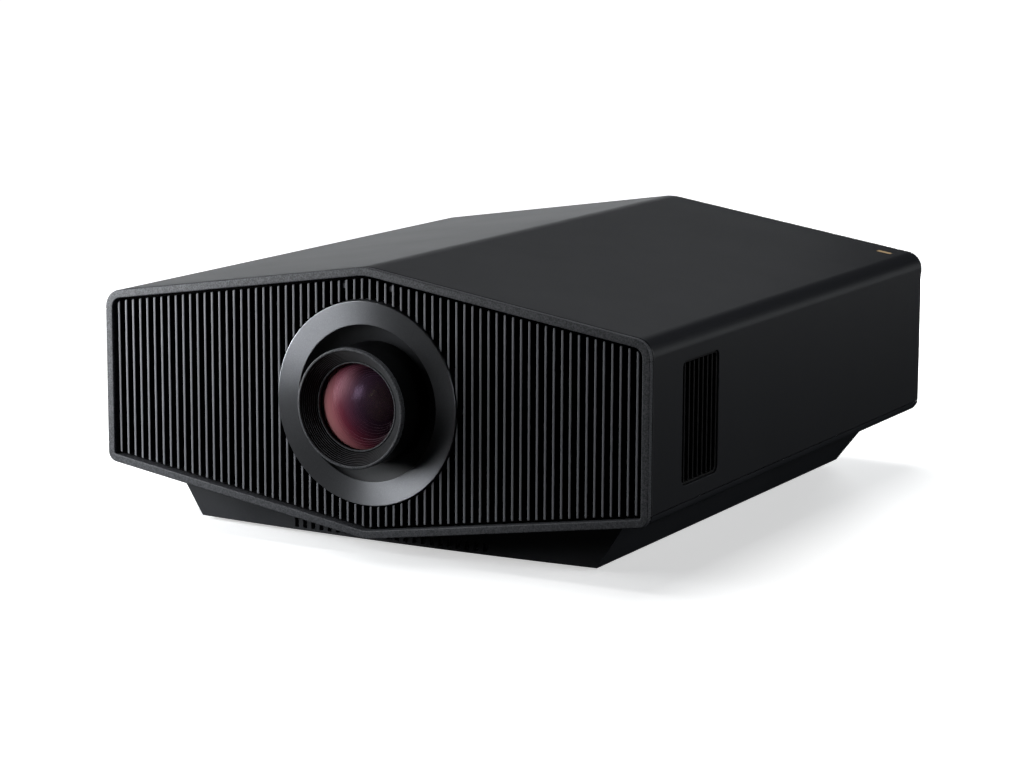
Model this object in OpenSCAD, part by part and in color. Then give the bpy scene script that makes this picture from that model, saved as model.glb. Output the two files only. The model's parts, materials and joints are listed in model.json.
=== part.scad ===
// Home projector with a motorised shifting lens.
// X runs across, -Y is the front, +Z is up. The origin is under the middle of the object, on the table.

/* [Body] */
// Width of the body
body_w = 460; // [440:2:470]
// Depth of the body, from the rim's face to the rear edge
body_d = 517; // [500:1:560]
// Height of the body without its feet
body_h = 210; // [206:1:216]
// Height of the feet
foot_h = 3; // [3:0.5:5]
// Rise of the top ridge above the lens axis
apex_rise = 100.5; // [98:0.5:104]
// Half height of the side walls
side_half = 65; // [62:0.5:68]
// Wall thickness of the shells
wall = 3; // [2.5:0.25:3]
// Rounding of the rear edges
rear_round = 12; // [8:1:14]

/* [Front] */
// Width of the rim round the front
rim_w = 6; // [5:0.5:7]
// Number of upright fins, an even number
fin_count = 68; // [60:2:72]
// Distance between the fins
fin_pitch = 6.55; // [6:0.05:6.6]
// Thickness of one fin
fin_t = 2.1; // [1.6:0.1:2.6]
// Outer radius of the lens ring
ring_r = 75.4; // [74:0.2:77]
// Inner radius of the lens ring's face
ring_in_r = 58; // [57:0.5:59]

/* [Lens] */
// Outer radius of the lens barrel
barrel_r = 44.3; // [42:0.1:45]
// How far the barrel stands out of the front
lens_out = 21; // [18:1:24]
// Radius of the front glass
glass_r = 32.9; // [30:0.1:33]
// Lens shift up and down from the middle
lift_travel = 6; // [4:0.5:6]
// Lens shift to each side from the middle
cross_travel = 5; // [3:0.5:5]

/* [Plinth] */
// Half width of the plinth's bottom
plinth_half = 170.5; // [160:0.5:175]
// Setback of the plinth's front edge
plinth_front = 33; // [30:1:40]
// Setback of the plinth's rear edge
plinth_rear = 40; // [36:1:50]
// Spread of the plinth's sides for each millimetre of height
plinth_flare = 0.64; // [0.5:0.02:0.66]

/* [Fits] */
// Radial clearance of shafts and rods in their bores
running = 0.05; // [0.03:0.01:0.08]
// Radius of the four tapped ceiling-mount holes
mount_hole_r = 2.1; // [2.1:0.1:2.5]
// Distance between the ceiling-mount holes across the body
mount_dx = 220; // [200:5:230]
// Distance between the ceiling-mount holes from front to rear
mount_dy = 180; // [160:5:190]
// Travel of a button
button_travel = 1; // [0.5:0.1:1.2]

/* [Hidden] */
$fn = 64;

// Main places
front_y = -(body_d + lens_out) / 2;
face_y = front_y + lens_out;
rear_y = face_y + body_d;
lens_z = foot_h + body_h - apex_rise;
seam_z = lens_z - side_half + 7;
slope = (apex_rise - side_half) / (body_w / 2);
gap = 0.3;
eps = 0.01;

// Outline of the front seen from the front, before rounding: x, z
body_corners = [
    [body_w / 2, lens_z - side_half], [body_w / 2, lens_z + side_half], [0, lens_z + apex_rise],
    [-body_w / 2, lens_z + side_half], [-body_w / 2, lens_z - side_half], [0, lens_z - apex_rise]];
corner_radii = [8, 14, 45, 14, 8, 30];
rim_depth = 5;
cover_y = face_y + rim_depth + 0.5;
lip_end = face_y + 8;
grille_end = face_y + 14;
panel_y = rear_y - 6;
panel_seat = wall + 4;

// Plinth
plinth_sag = 6;
plinth_top = 44;
plinth_rear_lean = 0.6;
slot_pitch = 7.4;
slot_half_count = 11;

// Side vents
vent_y0 = face_y + 53;
vent_y1 = face_y + 112.5;
vent_z0 = lens_z - 46;
vent_z1 = lens_z + 44;
vent_slats = 7;

// Feet and mounts
foot_x = 140;
foot_y = face_y + 85;
rear_foot_y = rear_y - 85;
stud_r = 4;
mount_y = 30;

// Controls on the left wall
control_y = rear_y - 95;
control_z = lens_z;
control_l = 110;
control_h = 40;
button_r = 4.5;
button_hole_r = button_r + gap;
pad_y = control_y + 22;

// Lens carriage, distances behind the rim's face
lift_rod_x = 98;
lift_rod_y = face_y + 156;
rod_r = 3;
cross_rod_y = face_y + 133;
cross_rod_dz = 58;
lift_screw_x = 70;
lift_screw_y = face_y + 157;
cross_screw_dz = 84;
screw_r = 3;
tube_r = 36;

// Funnel skirt of the barrel, which closes the ring's opening at every lens shift
skirt_r = ring_in_r + norm([lift_travel, cross_travel]) + 0.2;
skirt_front = 4.3;
skirt_root = skirt_front + 0.6 * (skirt_r - barrel_r);

// Gears of the zoom and focus rings
ring_teeth = 100;
pinion_teeth = 20;
gear_gap = 0.15;
pinion_c = (ring_teeth + pinion_teeth) / 2 + gear_gap;
gear_w = 12;
zoom_y = face_y + 52;
focus_y = face_y + 72;
ring_bore = 38;

// Light engine
prism_y = face_y + 214;
housing_y0 = face_y + 180;
housing_y1 = face_y + 406;
housing_x0 = -52;
housing_x1 = 150;
housing_z0 = 66;
housing_z1 = 150;
wheel_x = 100;
wheel_y = face_y + 330;

// Fans
fan_x = 150;
fan_y = face_y + 24;
fan_size = 92;
fan_t = 25;
blade_count = 7;

// Colours
charcoal = [0.10, 0.105, 0.115];
rim_grey = [0.20, 0.205, 0.215];
fin_grey = [0.16, 0.165, 0.175];
black = [0.03, 0.03, 0.035];
steel = [0.62, 0.63, 0.65];
alu = [0.72, 0.73, 0.75];
brass = [0.72, 0.58, 0.32];
glass_pink = [0.55, 0.25, 0.38];

// Geometry helpers
function unit(v) = v / norm(v);
function turn(a) = a > 180 ? a - 360 : a < -180 ? a + 360 : a;
function wrap(i, n) = (i + n) % n;

// Arc of radius r in the corner c of the path a, c, b
function corner_arc(a, c, b, r, n) =
    let (
        u = unit(a - c),
        v = unit(b - c),
        h = acos(u * v) / 2,
        m = c + unit(u + v) * r / sin(h),
        s = c + u * r / tan(h) - m,
        e = c + v * r / tan(h) - m,
        a0 = atan2(s[1], s[0]),
        sweep = turn(atan2(e[1], e[0]) - a0)
    )
    [for (i = [0:n]) m + r * [cos(a0 + sweep * i / n), sin(a0 + sweep * i / n)]];

function moved_corner(a, c, b, t) =
    let (u = unit(a - c), v = unit(b - c), h = acos(u * v) / 2)
    c + unit(u + v) * t / sin(h);

function inset_corners(pts, t) = [
    for (i = [0:len(pts) - 1])
        moved_corner(pts[wrap(i - 1, len(pts))], pts[i], pts[wrap(i + 1, len(pts))], t)];

function rounded_path(pts, radii, n) = [
    for (i = [0:len(pts) - 1])
        each corner_arc(pts[wrap(i - 1, len(pts))], pts[i], pts[wrap(i + 1, len(pts))], radii[i], n)];

// Body outline moved inwards by t
module outline(t) {
    polygon(rounded_path(inset_corners(body_corners, t), [for (r = corner_radii) max(r - t, 1)], 6));
}

module outline_ring(outer, inner) {
    difference() {
        outline(outer);
        outline(inner);
    }
}

// Extrude an x, z drawing from y0 to y1
module along_y(y0, y1) {
    translate([0, y1, 0])
        rotate([90, 0, 0])
            linear_extrude(y1 - y0)
                children();
}

// Extrude a y, z drawing from x0 to x1
module along_x(x0, x1) {
    translate([x0, 0, 0])
        rotate([90, 0, 90])
            linear_extrude(x1 - x0)
                children();
}

// Turn a radius, depth profile about the lens axis; depth counts back from the rim's face
module about_lens(profile) {
    translate([0, face_y, lens_z])
        rotate([-90, 0, 0])
            rotate_extrude($fn = 96)
                polygon(profile);
}

module block(x, y, z) {
    translate([x[0], y[0], z[0]])
        cube([x[1] - x[0], y[1] - y[0], z[1] - z[0]]);
}

module rod_x(x0, x1, y, z, r) {
    translate([x0, y, z])
        rotate([0, 90, 0])
            cylinder(h = x1 - x0, r = r);
}

module rod_y(x, y0, y1, z, r) {
    translate([x, y0, z])
        rotate([-90, 0, 0])
            cylinder(h = y1 - y0, r = r);
}

module rod_z(x, y, z0, z1, r) {
    translate([x, y, z0])
        cylinder(h = z1 - z0, r = r);
}

// Rectangle centred on c with round corners, made of true arcs
module round_rect(c, size, r) {
    translate([c[0] - size[0] / 2, c[1] - size[1] / 2]) {
        translate([r, 0])
            square([size[0] - 2 * r, size[1]]);
        translate([0, r])
            square([size[0], size[1] - 2 * r]);
        for (x = [r, size[0] - r], y = [r, size[1] - r])
            translate([x, y])
                circle(r, $fn = 32);
    }
}

module both_sides() {
    for (side = [0, 1])
        mirror([side, 0, 0])
            children();
}

// Body shape from the cover's front edge to the rounded rear
module body_solid() {
    hull() {
        along_y(cover_y, rear_y - rear_round)
            outline(0);
        for (a = [22.5:22.5:90])
            along_y(rear_y - rear_round * (1 - sin(a)) - eps, rear_y - rear_round * (1 - sin(a)))
                outline(rear_round * (1 - cos(a)));
    }
}

// Inside of the shells, stepping in behind the rounded rear to the panel's seat and its opening
module body_cavity() {
    along_y(cover_y - 1, rear_y - rear_round)
        outline(wall);
    along_y(rear_y - rear_round - 1, panel_y)
        outline(wall + 1.8);
    along_y(panel_y - 1, rear_y - wall)
        outline(panel_seat);
    along_y(rear_y - wall - 1, rear_y + 1)
        outline(rear_round + 2);
}

// Plan of the plinth at a height above its bottom, moved inwards by t
module plinth_plan(rise, t) {
    half = plinth_half + plinth_flare * rise - t;
    back = rear_y - plinth_rear + plinth_rear_lean * rise - t;
    front = face_y + plinth_front + t;
    polygon(concat(
        [for (i = [-4:4]) [half * i / 4, front + plinth_sag * pow(i / 4, 2)]],
        [[half, back], [-half, back]]));
}

module plinth_solid(z0, t) {
    hull() {
        translate([0, 0, z0])
            linear_extrude(eps)
                plinth_plan(z0 - foot_h, t);
        translate([0, 0, foot_h + plinth_top])
            linear_extrude(eps)
                plinth_plan(plinth_top, t);
    }
}

// Casing

module base_pan() {
    color(charcoal)
    difference() {
        union() {
            difference() {
                union() {
                    intersection() {
                        body_solid();
                        block([-body_w, body_w], [front_y, rear_y + 1], [0, seam_z - gap]);
                    }
                    plinth_solid(foot_h, 0);
                }
                body_cavity();
                plinth_solid(foot_h + wall, wall);
            }
            both_sides() {
                rod_z(foot_x, foot_y, foot_h, foot_h + 13, 24);
                rod_z(foot_x, foot_y, foot_h, foot_h + 31, 9);
                for (side = [-1, 1])
                    rod_z(mount_dx / 2, mount_y + side * mount_dy / 2, foot_h, foot_h + 15, 7);
                fan_post();
            }
            housing_pillars();
            supply_pillars();
        }
        both_sides() {
            rod_z(foot_x, foot_y, foot_h - 1, foot_h + 9.5, 20.5);
            rod_z(foot_x, foot_y, foot_h, foot_h + 32, stud_r + running);
            for (side = [-1, 1])
                rod_z(mount_dx / 2, mount_y + side * mount_dy / 2, foot_h - 1, foot_h + 12, mount_hole_r);
        }
        intake_slots();
    }
}

module intake_slots() {
    for (i = [-slot_half_count:slot_half_count])
        translate([i * slot_pitch, face_y + plinth_front + 2, foot_h + 5.5])
            cube([3.5, 12, 7], center = true);
}

module fan_post() {
    bottom = lens_z - apex_rise + slope * (fan_x + 6) + 0.5;
    block([fan_x - 6, fan_x + 6], [fan_y + 6, fan_y + 18], [bottom, lens_z - fan_size / 2]);
}

module housing_pillars() {
    for (x = [housing_x0 + 12, housing_x1 - 12], y = [housing_y0 + 14, housing_y1 - 14])
        rod_z(x, y, foot_h + 1, housing_z0, 6);
}

module supply_pillars() {
    for (x = [-150, -80], y = [face_y + 250, face_y + 410])
        rod_z(x, y, foot_h + 1, 20, 5);
}

module top_cover() {
    color(charcoal)
    difference() {
        intersection() {
            body_solid();
            block([-body_w, body_w], [front_y, rear_y + 1], [seam_z, body_h * 2]);
        }
        body_cavity();
        both_sides()
            along_x(body_w / 2 - wall - 1, body_w / 2 + 1)
                vent_shape(0);
        along_x(-body_w / 2 - 1, -body_w / 2 + wall + 1)
            round_rect([control_y, control_z], [control_l, control_h], 5);
    }
}

module vent_shape(t) {
    round_rect([(vent_y0 + vent_y1) / 2, (vent_z0 + vent_z1) / 2],
        [vent_y1 - vent_y0 - 2 * t, vent_z1 - vent_z0 - 2 * t], 5 - t);
}

module front_bezel() {
    color(rim_grey) {
        along_y(face_y, face_y + rim_depth)
            outline_ring(0, rim_w);
        along_y(face_y + rim_depth, lip_end)
            outline_ring(wall + gap, rim_w);
    }
}

// Fins, on a border frame, three rails and a border round the lens
module front_grille() {
    first = -(fin_count - 1) / 2 * fin_pitch;
    color(fin_grey)
    difference() {
        union() {
            along_y(face_y + 2.5, grille_end)
                intersection() {
                    outline(rim_w + 2.2);
                    for (i = [0:fin_count - 1])
                        translate([first + i * fin_pitch - fin_t / 2, 0])
                            square([fin_t, body_h + foot_h]);
                }
            along_y(lip_end, grille_end)
                outline_ring(wall + gap, rim_w + 3.5);
            for (dz = [-45, 0, 45])
                block([-body_w / 2 + 8, body_w / 2 - 8], [grille_end - 3, grille_end],
                    [lens_z + dz - 1.5, lens_z + dz + 1.5]);
            rod_y(0, grille_end - 4, grille_end, lens_z, ring_r + 5);
        }
        rod_y(0, face_y, grille_end + 1, lens_z, ring_r + 0.9);
    }
}

module grille_tabs() {
    tab_w = fin_pitch - fin_t - 0.1;
    color(rim_grey)
    for (side = [-1, 1])
        translate([side * 3 * fin_pitch - tab_w / 2, face_y + 5, lens_z + 83])
            cube([tab_w, lip_end - face_y - 5 + 1, 4]);
}

module lens_ring() {
    color(rim_grey)
    about_lens([
        [ring_in_r, 2.6], [ring_r, 1.2], [ring_r, 14], [ring_r + 6, 14], [ring_r + 6, 17],
        [ring_r - 1.2, 17], [ring_r - 1.2, 2.8], [ring_in_r, 3.9]]);
}

module side_vents() {
    pitch = (vent_y1 - vent_y0) / (vent_slats + 1);
    color(black)
    both_sides() {
        along_x(body_w / 2 - wall - 5, body_w / 2 - 1.5)
            difference() {
                vent_shape(0.15);
                vent_shape(2);
            }
        for (i = [1:vent_slats])
            block([body_w / 2 - wall - 5, body_w / 2 - 2],
                [vent_y0 + i * pitch - 0.8, vent_y0 + i * pitch + 0.8], [vent_z0 + 1.5, vent_z1 - 1.5]);
    }
}

// Cut-outs of the rear panel: x, z centre and size
vent_c = [115, lens_z];
vent_size = [150, 92];
plate_c = [-112, lens_z + 12];
plate_size = [150, 44];
inlet_c = [-75, 62];
inlet_size = [50, 28];
ir_c = [0, lens_z + 66];

module rear_panel() {
    color(charcoal)
    difference() {
        along_y(panel_y, rear_y - wall)
            difference() {
                outline(panel_seat + gap);
                round_rect(vent_c, vent_size, 6);
                round_rect(plate_c, plate_size, 3);
                round_rect(inlet_c, inlet_size, 2);
                round_rect(ir_c, [18, 9], 4.4);
            }
        for (p = screw_places())
            rod_y(p[0], panel_y - 1, rear_y, p[1], 1.7);
    }
}

module rear_vent() {
    color(black)
    along_y(panel_y - 4, rear_y - wall - 0.6) {
        difference() {
            round_rect(vent_c, vent_size - [0.4, 0.4], 5.8);
            round_rect(vent_c, vent_size - [8, 8], 3);
        }
        for (i = [-6:6])
            translate([vent_c[0] - vent_size[0] / 2 + 3, vent_c[1] + i * 6 - 1])
                square([vent_size[0] - 6, 2]);
        for (x = [-25, 25])
            translate([vent_c[0] + x - 1.5, vent_c[1] - vent_size[1] / 2 + 3])
                square([3, vent_size[1] - 6]);
    }
}

// Sockets of the connector plate: x, z centre
hdmi_x = [-172, -148];
network_x = -121;
usb_x = -97;
serial_x = -66;
jack_x = [-172, -157, -142];
socket_z = plate_c[1] + 9;
jack_z = plate_c[1] - 11;
plate_y0 = panel_y - 1.5;
socket_front = panel_y - 18;
socket_end = rear_y - wall - 1;
jack_bore_r = 1.8;

module connector_plate() {
    color(steel)
    along_y(plate_y0, panel_y)
        difference() {
            round_rect(plate_c, plate_size + [8, 8], 3);
            for (x = hdmi_x)
                round_rect([x, socket_z], [15.4, 6.2], 1);
            round_rect([network_x, socket_z], [16.4, 14.4], 0.5);
            round_rect([usb_x, socket_z], [14.8, 7.4], 0.5);
            round_rect([serial_x, socket_z], [17.4, 9.4], 2);
            for (x = jack_x)
                translate([x, jack_z])
                    circle(3.7);
        }
}

module hdmi_sockets() {
    color(steel)
    for (x = hdmi_x)
        difference() {
            along_y(socket_front, socket_end)
                round_rect([x, socket_z], [15, 5.8], 0.8);
            along_y(socket_front + 2, socket_end + 1)
                round_rect([x, socket_z], [14, 4.6], 0.5);
        }
}

module data_sockets() {
    color(steel) {
        difference() {
            along_y(socket_front, socket_end)
                round_rect([network_x, socket_z], [16, 14], 0.4);
            along_y(socket_front + 2, socket_end + 1)
                round_rect([network_x, socket_z - 0.5], [11.8, 8.4], 0.4);
        }
        difference() {
            along_y(socket_front, socket_end)
                round_rect([usb_x, socket_z], [14.4, 7], 0.4);
            along_y(socket_front + 2, socket_end + 1)
                round_rect([usb_x, socket_z], [12.6, 5.2], 0.3);
        }
        difference() {
            along_y(socket_front, socket_end)
                round_rect([serial_x, socket_z], [17, 9], 2);
            along_y(socket_end - 5, socket_end + 1)
                round_rect([serial_x, socket_z], [16, 8], 1.6);
        }
        for (i = [-2:2])
            rod_y(serial_x + i * 2.7, socket_end - 5, socket_end - 0.5, socket_z + 1.4, 0.5);
        for (i = [-1.5:1.5])
            rod_y(serial_x + i * 2.7, socket_end - 5, socket_end - 0.5, socket_z - 1.4, 0.5);
    }
}

module mini_jacks() {
    color(black)
    for (x = jack_x)
        difference() {
            rod_y(x, socket_front + 2, socket_end, jack_z, 3.5);
            rod_y(x, socket_front + 4, socket_end + 1, jack_z, jack_bore_r);
        }
}

module power_inlet() {
    color(black) {
        difference() {
            union() {
                along_y(panel_y - 16, panel_y - 0.4)
                    round_rect(inlet_c, [30, 23], 2);
                along_y(panel_y, rear_y - wall - 0.5)
                    round_rect(inlet_c, inlet_size - [0.4, 0.4], 1.8);
                along_y(panel_y - 1, panel_y + 1)
                    round_rect(inlet_c, [30, 23], 2);
            }
            along_y(panel_y - 14, rear_y)
                round_rect(inlet_c, [25, 17.5], 2);
        }
        for (p = [[-7, -2.5], [0, 2.5], [7, -2.5]])
            block([inlet_c[0] + p[0] - 1, inlet_c[0] + p[0] + 1], [panel_y - 15, panel_y - 4],
                [inlet_c[1] + p[1] - 2, inlet_c[1] + p[1] + 2]);
    }
}

module ir_window() {
    color([0.18, 0.02, 0.04])
    along_y(panel_y - 1, rear_y - wall - 0.4)
        round_rect(ir_c, [17.7, 8.7], 4.2);
}

function screw_places() = [
    for (side = [-1, 1], p = [[205, 30], [205, -30], [70, 66], [50, -72]])
        [side * p[0], lens_z + p[1]]];

module cover_screws() {
    color(steel)
    for (p = screw_places()) {
        rod_y(p[0], panel_y - 6, rear_y - wall, p[1], 1.5);
        difference() {
            rod_y(p[0], rear_y - wall, rear_y - wall + 1.8, p[1], 3);
            rod_y(p[0], rear_y - wall + 0.8, rear_y, p[1], 1.1, $fn = 6);
        }
    }
}

// Feet

module rear_feet() {
    color(black)
    both_sides()
        rod_z(foot_x, rear_foot_y, 0, foot_h, 15);
}

module foot_pad() {
    color(black)
    rod_z(foot_x, foot_y, 0, 2, 17);
    color(black)
    rod_z(foot_x, foot_y, 2, 7, 3);
}

module foot_wheel() {
    color(charcoal)
    difference() {
        union() {
            rod_z(foot_x, foot_y, 2.1, foot_h + 8.5, 18);
            for (a = [0:20:340])
                translate([foot_x, foot_y, 0])
                    rotate(a)
                        rod_z(18, 0, 2.6, foot_h + 8, 1.2, $fn = 24);
            rod_z(foot_x, foot_y, foot_h + 8.5, foot_h + 38, stud_r);
        }
        rod_z(foot_x, foot_y, 2, 7.5, 3 + running);
    }
}

module right_foot_pad() {
    foot_pad();
}

module right_foot_wheel() {
    foot_wheel();
}

module left_foot_pad() {
    mirror([1, 0, 0])
        foot_pad();
}

module left_foot_wheel() {
    mirror([1, 0, 0])
        foot_wheel();
}

// Controls: place of each button along the panel and up it
function button_place(name) =
    name == "power" ? [control_y - 45, control_z + 9] :
    name == "input" ? [control_y - 28, control_z + 9] :
    name == "menu" ? [control_y - 11, control_z + 9] :
    name == "lens" ? [control_y - 11, control_z - 9] :
    name == "up" ? [pad_y, control_z + 13] :
    name == "down" ? [pad_y, control_z - 13] :
    name == "left" ? [pad_y + 13, control_z] :
    name == "right" ? [pad_y - 13, control_z] :
    [pad_y, control_z];

button_names = ["power", "input", "menu", "lens", "up", "down", "left", "right", "enter"];
plate_x = -body_w / 2 + 1.4;
plate_inner_x = -body_w / 2 + wall + 1.6;

module control_plate() {
    color(black)
    difference() {
        union() {
            along_x(plate_x, plate_inner_x)
                round_rect([control_y, control_z], [control_l - 0.4, control_h - 0.4], 4.8);
            along_x(-body_w / 2 + wall, plate_inner_x)
                round_rect([control_y, control_z], [control_l + 8, control_h + 8], 5);
        }
        for (name = button_names, place = [button_place(name)])
            rod_x(plate_x - 1, plate_inner_x + 1, place[0], place[1], button_hole_r);
        for (i = [0, 1])
            rod_x(plate_x - 1, plate_inner_x + 1, control_y - 45 + i * 12, control_z - 10, 1.6);
    }
}

module status_light() {
    color([0.75, 0.85, 0.8])
    for (i = [0, 1])
        rod_x(plate_x + 0.2, plate_inner_x + 3, control_y - 45 + i * 12, control_z - 10, 1.5);
}

module button(name) {
    place = button_place(name);
    color(charcoal) {
        rod_x(plate_x - 0.8, plate_inner_x + 5, place[0], place[1], button_r);
        rod_x(plate_inner_x + gap, plate_inner_x + 1.8, place[0], place[1], button_r + 1);
    }
}

module power_button() {
    button("power");
}

module input_button() {
    button("input");
}

module menu_button() {
    button("menu");
}

module lens_button() {
    button("lens");
}

module up_button() {
    button("up");
}

module down_button() {
    button("down");
}

module left_button() {
    button("left");
}

module right_button() {
    button("right");
}

module enter_button() {
    button("enter");
}

// Lens shift mechanism

module lens_frame() {
    plate_y = [face_y + 168, face_y + 176];
    color(alu)
    difference() {
        union() {
            block([-112, 112], plate_y, [20, lens_z + 78]);
            both_sides() {
                block([84, 112], [face_y + 160, face_y + 176], [foot_h + wall, 20]);
                for (dz = [-84, 68])
                    block([lift_rod_x - 7, lift_rod_x + 7], [face_y + 150.5, face_y + 170],
                        [lens_z + dz, lens_z + dz + 8]);
            }
            block([lift_screw_x - 7, lift_screw_x + 7], [face_y + 150.5, face_y + 170],
                [lens_z - 84, lens_z - 76]);
        }
        block([-53 - cross_travel, 53 + cross_travel], [face_y + 160, face_y + 180],
            [lens_z - 48 - lift_travel, lens_z + 48 + lift_travel]);
        both_sides()
            rod_z(lift_rod_x, lift_rod_y, 0, body_h, rod_r);
        rod_z(lift_screw_x, lift_screw_y, 0, lens_z, screw_r + running);
    }
}

module lift_rods() {
    color(steel)
    both_sides()
        rod_z(lift_rod_x, lift_rod_y, lens_z - 84, lens_z + 76, rod_r);
}

module lift_plate() {
    color(alu)
    difference() {
        union() {
            block([-104, 104], [face_y + 142, face_y + 149.9], [lens_z - 72, lens_z + 72]);
            both_sides()
                for (dz = [-66, 42])
                    block([lift_rod_x - 7, lift_rod_x + 6], [face_y + 149, face_y + 162],
                        [lens_z + dz, lens_z + dz + 16]);
            block([lift_screw_x - 7, lift_screw_x + 7], [face_y + 149, face_y + 163],
                [lens_z - 68, lens_z - 56]);
            both_sides()
                for (dz = [-cross_rod_dz, cross_rod_dz])
                    block([86, 96], [face_y + 126, face_y + 143],
                        [lens_z + dz - 6, lens_z + dz + 6]);
            block([34, 59], [face_y + 142, face_y + 149.9], [lens_z - 94, lens_z - 70]);
            block([36, 44], [face_y + 126, face_y + 143], [lens_z - 92, lens_z - 76]);
        }
        block([-45 - cross_travel, 45 + cross_travel], [face_y + 130, face_y + 160],
            [lens_z - 42, lens_z + 42]);
        both_sides()
            rod_z(lift_rod_x, lift_rod_y, 0, body_h, rod_r + running);
        rod_z(lift_screw_x, lift_screw_y, 0, lens_z, screw_r + running);
        for (dz = [-cross_rod_dz, cross_rod_dz])
            rod_x(-97, 97, cross_rod_y, lens_z + dz, rod_r);
        rod_x(30, 50, cross_rod_y, lens_z - cross_screw_dz, screw_r + running);
    }
}

module lift_screw() {
    color(steel) {
        rod_z(lift_screw_x, lift_screw_y, 16, lens_z - 46, screw_r);
        rod_z(lift_screw_x, lift_screw_y, lens_z - 75.7, lens_z - 75.2, 5);
    }
}

module lift_motor() {
    color(black)
    difference() {
        rod_z(lift_screw_x, lift_screw_y, 8, lens_z - 84, 9.5);
        rod_z(lift_screw_x, lift_screw_y, 15, lens_z, screw_r + running);
    }
}

module cross_rods() {
    color(steel)
    for (dz = [-cross_rod_dz, cross_rod_dz])
        rod_x(-96, 96, cross_rod_y, lens_z + dz, rod_r);
}

module cross_screw() {
    z = lens_z - cross_screw_dz;
    color(steel) {
        rod_x(-16, 56, cross_rod_y, z, screw_r);
        rod_x(34, 35.7, cross_rod_y, z, 4.5);
    }
}

module cross_motor() {
    z = lens_z - cross_screw_dz;
    color(black)
    difference() {
        rod_x(44, 72, cross_rod_y, z, 8.9);
        rod_x(43, 57, cross_rod_y, z, screw_r + running);
    }
}

module cross_plate() {
    color(alu)
    difference() {
        union() {
            block([-78, 78], [face_y + 120, face_y + 128], [lens_z - 70, lens_z + 70]);
            both_sides()
                for (dz = [-cross_rod_dz, cross_rod_dz])
                    block([58, 76], [face_y + 127, face_y + 139], [lens_z + dz - 6, lens_z + dz + 6]);
            block([-8, 8], [face_y + 120, face_y + 139], [lens_z - 91, lens_z - 66]);
        }
        rod_y(0, face_y + 110, face_y + 150, lens_z, tube_r);
        for (dz = [-cross_rod_dz, cross_rod_dz])
            rod_x(-97, 97, cross_rod_y, lens_z + dz, rod_r + running);
        rod_x(-20, 20, cross_rod_y, lens_z - cross_screw_dz, screw_r + running);
    }
}

// Lens

module lens_barrel() {
    color(black)
    about_lens([
        [42.4, -lens_out], [barrel_r - 0.6, -lens_out], [barrel_r, -lens_out + 0.6],
        [barrel_r, skirt_root], [skirt_r, skirt_front], [skirt_r, skirt_front + 1.4],
        [barrel_r, skirt_root + 1.6], [barrel_r, 51.7],
        [ring_bore, 51.7], [ring_bore, 64.3], [41, 64.3], [41, 71.7], [ring_bore, 71.7],
        [ring_bore, 84.3], [41, 84.3], [41, 90], [tube_r, 90], [tube_r, 116], [48, 116], [48, 120],
        [tube_r, 120], [tube_r, 140], [31, 140], [31, 6], [glass_r, 6], [glass_r, -10.5]]);
}

module front_lens() {
    crown = 62;
    color(glass_pink)
    translate([0, face_y, lens_z])
        rotate([-90, 0, 0])
            rotate_extrude($fn = 96)
                polygon(concat(
                    [[0, 3]],
                    [[glass_r, 3], [glass_r, -6]],
                    [for (i = [0:8])
                        let (a = asin(glass_r / crown) * (1 - i / 8))
                        [crown * sin(a), -6 - crown * (cos(a) - cos(asin(glass_r / crown)))]]));
}

// Half tooth angle at radius r of an involute gear with module 1
function inv(a) = tan(a) * 180 / PI - a;
function half_tooth(teeth, r) =
    let (pitch_r = teeth / 2, base_r = pitch_r * cos(20))
    90 / teeth * 0.92 + inv(20) - inv(acos(min(1, base_r / max(r, base_r))));

function tooth_radii(teeth) = [for (d = [-1.2, -0.6, 0, 0.5, 0.95]) teeth / 2 + d];
function tooth_points(teeth, at) = concat(
    [for (r = tooth_radii(teeth)) let (a = at - half_tooth(teeth, r)) r * [cos(a), sin(a)]],
    [for (i = [4:-1:0]) let (r = tooth_radii(teeth)[i], a = at + half_tooth(teeth, r)) r * [cos(a), sin(a)]]);

// Gear drawn in x, z, with teeth numbered first to last
module gear_shape(teeth, first, last) {
    root = teeth / 2 - 1.2;
    circle(root + 0.05, $fn = 96);
    for (i = [first:last])
        polygon(tooth_points(teeth, i * 360 / teeth));
}

module toothed_ring(y, first, last) {
    color(charcoal)
    translate([0, 0, lens_z])
        along_y(y, y + gear_w)
            difference() {
                gear_shape(ring_teeth, first, last);
                circle(ring_bore + running, $fn = 96);
            }
}

module pinion(side, y) {
    x = side * pinion_c * cos(45);
    z = lens_z + pinion_c * sin(45);
    color(brass) {
        translate([x, 0, z])
            along_y(y, y + gear_w)
                rotate(180 / pinion_teeth)
                    gear_shape(pinion_teeth, 0, pinion_teeth - 1);
        rod_y(x, y + gear_w, face_y + 100, z, 1.5);
    }
}

// Teeth lie round the pinion at 45 degrees for zoom and at 135 degrees for focus
module zoom_ring() {
    toothed_ring(zoom_y, -3, 28);
}

module focus_ring() {
    toothed_ring(focus_y, 22, 53);
}

module zoom_pinion() {
    pinion(1, zoom_y);
}

module focus_pinion() {
    pinion(-1, focus_y);
}

module lens_motors() {
    color(steel)
    both_sides()
        difference() {
            rod_y(pinion_c * cos(45), face_y + 91, face_y + 120, lens_z + pinion_c * sin(45), 11);
            rod_y(pinion_c * cos(45), face_y + 90, face_y + 102, lens_z + pinion_c * sin(45), 1.5 + running);
        }
}

// Light engine

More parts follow.
